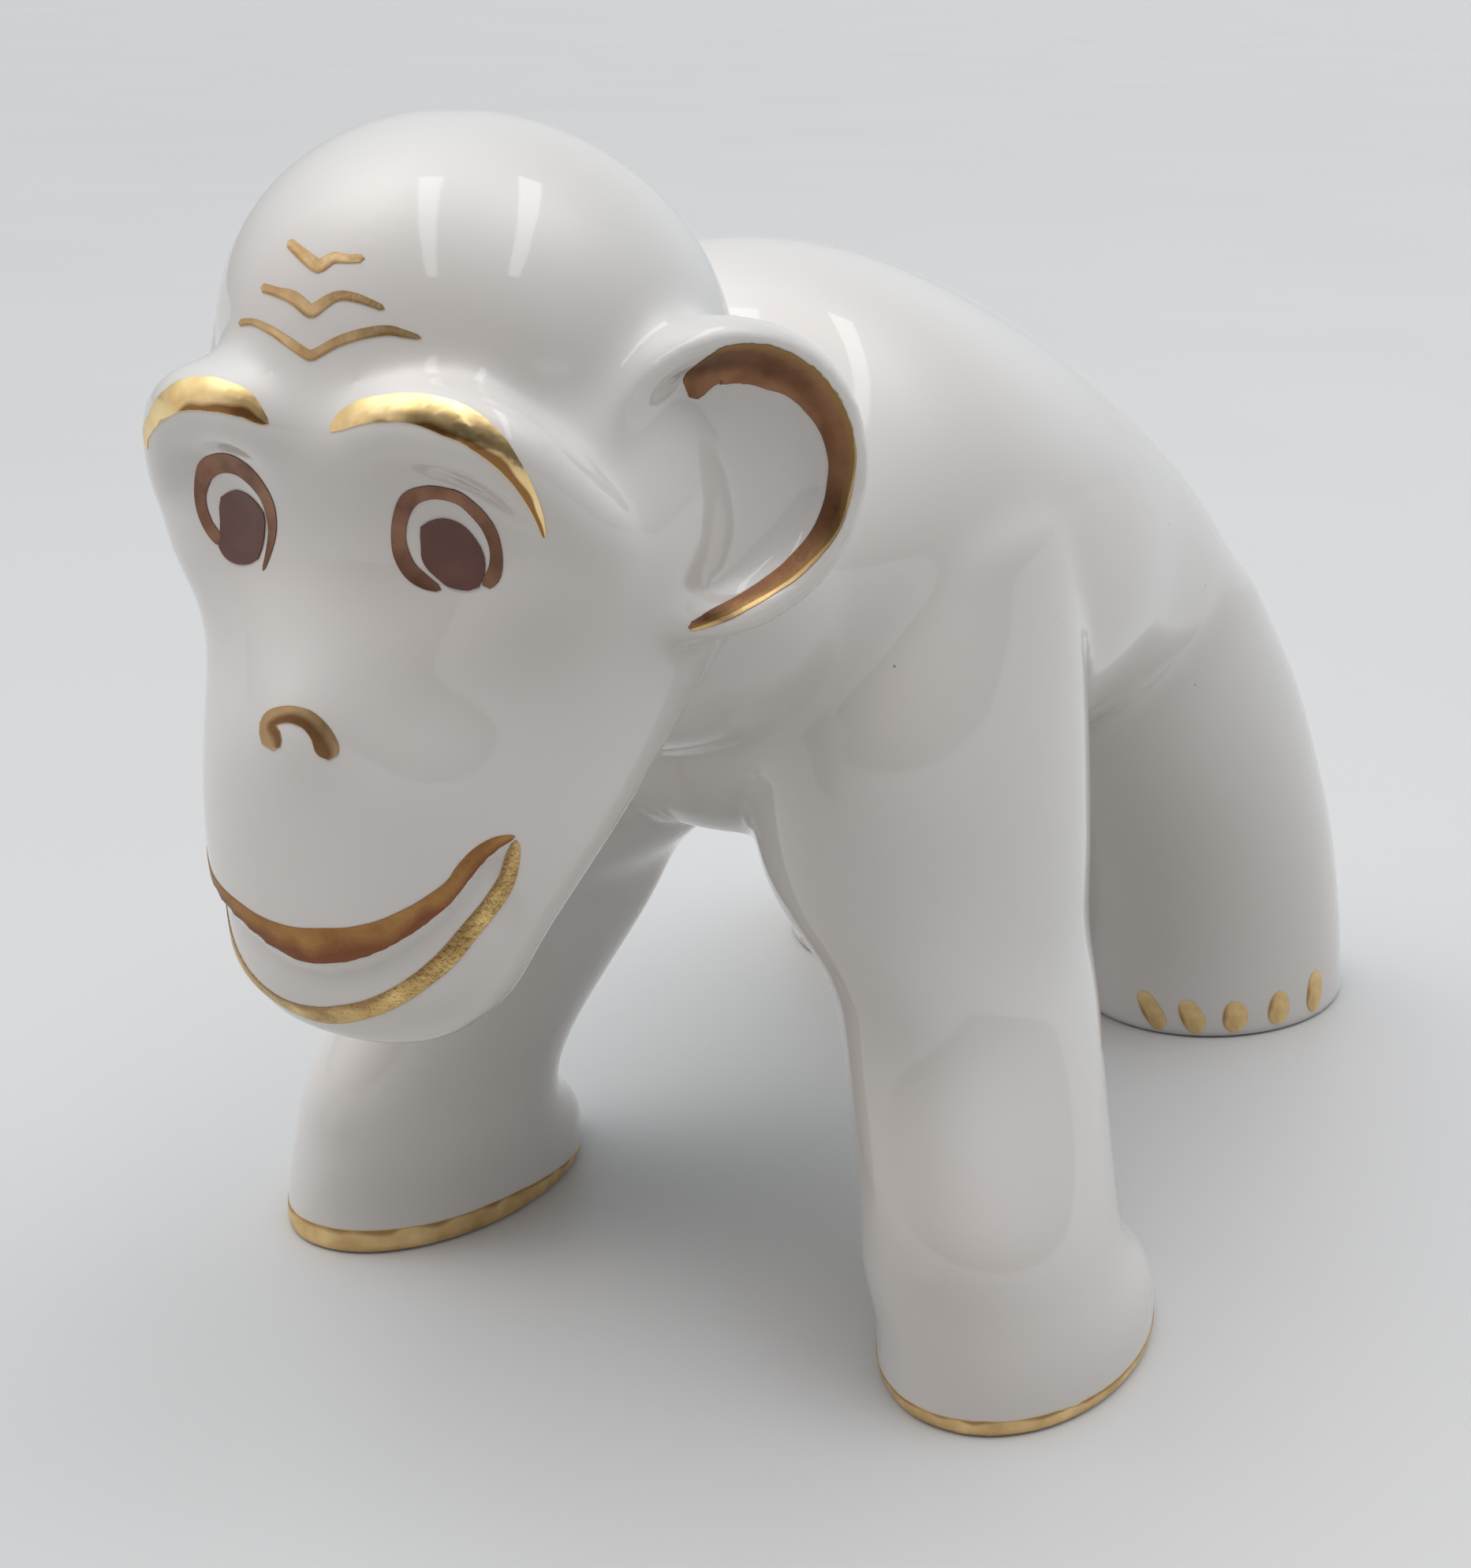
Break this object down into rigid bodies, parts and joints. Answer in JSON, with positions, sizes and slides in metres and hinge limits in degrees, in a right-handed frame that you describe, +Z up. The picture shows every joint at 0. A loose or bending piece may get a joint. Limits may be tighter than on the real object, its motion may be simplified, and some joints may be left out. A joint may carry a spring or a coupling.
{
  "type": "gorilla figurine",
  "caption": "White glazed china ape standing on its hands and feet, hollow cast, with gilded brows, lips, ears and toes and brown painted eyes; a small shelf ornament.",
  "frame": {"origin": "on the surface it stands on, under the middle of the figurine's whole length and width", "axes": "+Z up; -Y is where the animal faces; +X is the animal's left side"},
  "size_m": [0.067, 0.126, 0.0835],
  "materials": {
    "white_glaze": "clear glossy glaze over warm white bone china",
    "burnished_gold": "brushed-on fired gold, burnished, thin at the ends of the strokes",
    "brown_enamel": "matt dark brown overglaze enamel"
  },
  "bodies": {
    "root": {"torso": "white_glaze", "head": "white_glaze", "left_ear": "white_glaze", "right_ear": "white_glaze", "left_foreleg": "white_glaze", "right_foreleg": "white_glaze", "left_hind_leg": "white_glaze", "right_hind_leg": "white_glaze"}
  },
  "joints": []
}
